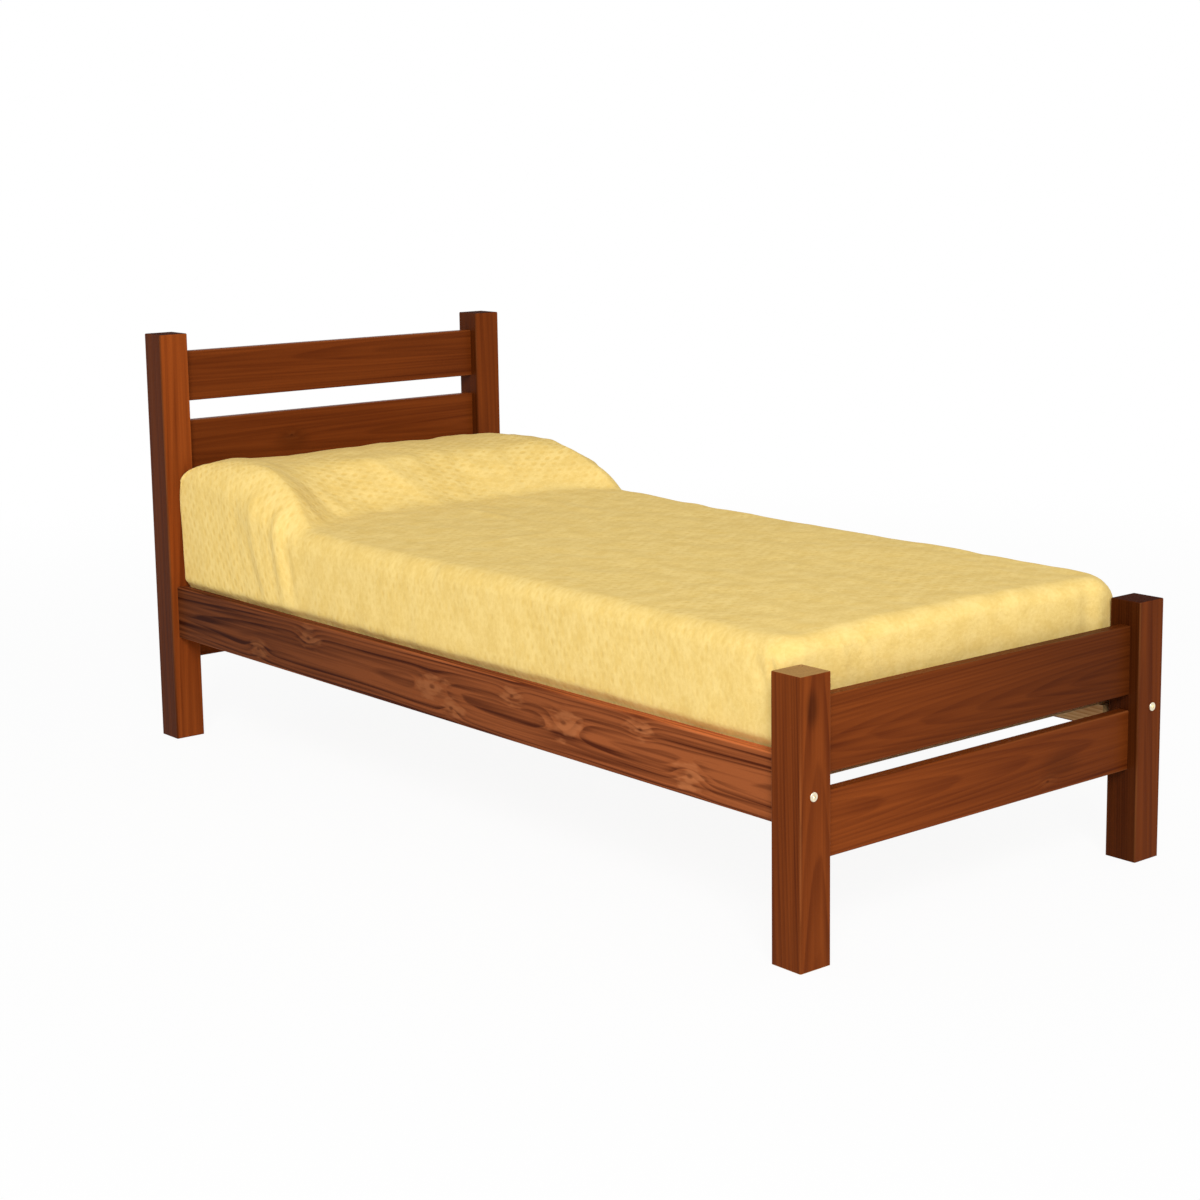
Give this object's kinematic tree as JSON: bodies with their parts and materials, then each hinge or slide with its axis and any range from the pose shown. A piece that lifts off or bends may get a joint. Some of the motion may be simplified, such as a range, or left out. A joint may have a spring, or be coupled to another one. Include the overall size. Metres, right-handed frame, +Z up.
{
  "type": "single bed",
  "caption": "Wooden single bed on square posts with two-rail headboard and footboard, bolted side rails, slats, mattress, pillow and yellow bedspread.",
  "frame": {"origin": "on the floor under the middle of the bed, centre of the bounding box's bottom", "axes": "+Y along the bed towards the head, +X across it to the right as seen from the foot, +Z up"},
  "size_m": [0.91, 2.0548, 0.898],
  "materials": {
    "stained_pine": "reddish-brown stain under satin varnish",
    "raw_pine": "planed, unfinished",
    "dowel_wood": "turned beech, unfinished",
    "bolt_metal": "bright brassed steel",
    "zinc_steel": "zinc plated",
    "ticking": "quilted cotton ticking",
    "foam": null,
    "pillow_cotton": "plain cotton",
    "yellow_pique": "soft woven cotton pique with fine rows"
  },
  "bodies": {
    "root": {"barrel_nuts": "zinc_steel", "bed_bolts": "bolt_metal", "bedspread": "yellow_pique", "foot_post_left": "stained_pine", "foot_post_right": "stained_pine", "footboard_lower_rail": "stained_pine", "footboard_top_rail": "stained_pine", "head_post_left": "stained_pine", "head_post_right": "stained_pine", "headboard_lower_rail": "stained_pine", "headboard_middle_rail": "stained_pine", "headboard_top_rail": "stained_pine", "ledger_screws": "zinc_steel", "locating_dowels": "dowel_wood", "mattress_core": "foam", "mattress_cover": "ticking", "pillow": "pillow_cotton", "side_rail_left": "stained_pine", "side_rail_right": "stained_pine", "slat_01": "raw_pine", "slat_02": "raw_pine", "slat_03": "raw_pine", "slat_04": "raw_pine", "slat_05": "raw_pine", "slat_06": "raw_pine", "slat_07": "raw_pine", "slat_08": "raw_pine", "slat_09": "raw_pine", "slat_10": "raw_pine", "slat_11": "raw_pine", "slat_12": "raw_pine", "slat_13": "raw_pine", "slat_14": "raw_pine", "slat_ledger_left": "raw_pine", "slat_ledger_right": "raw_pine", "slat_screws": "zinc_steel"}
  },
  "joints": []
}
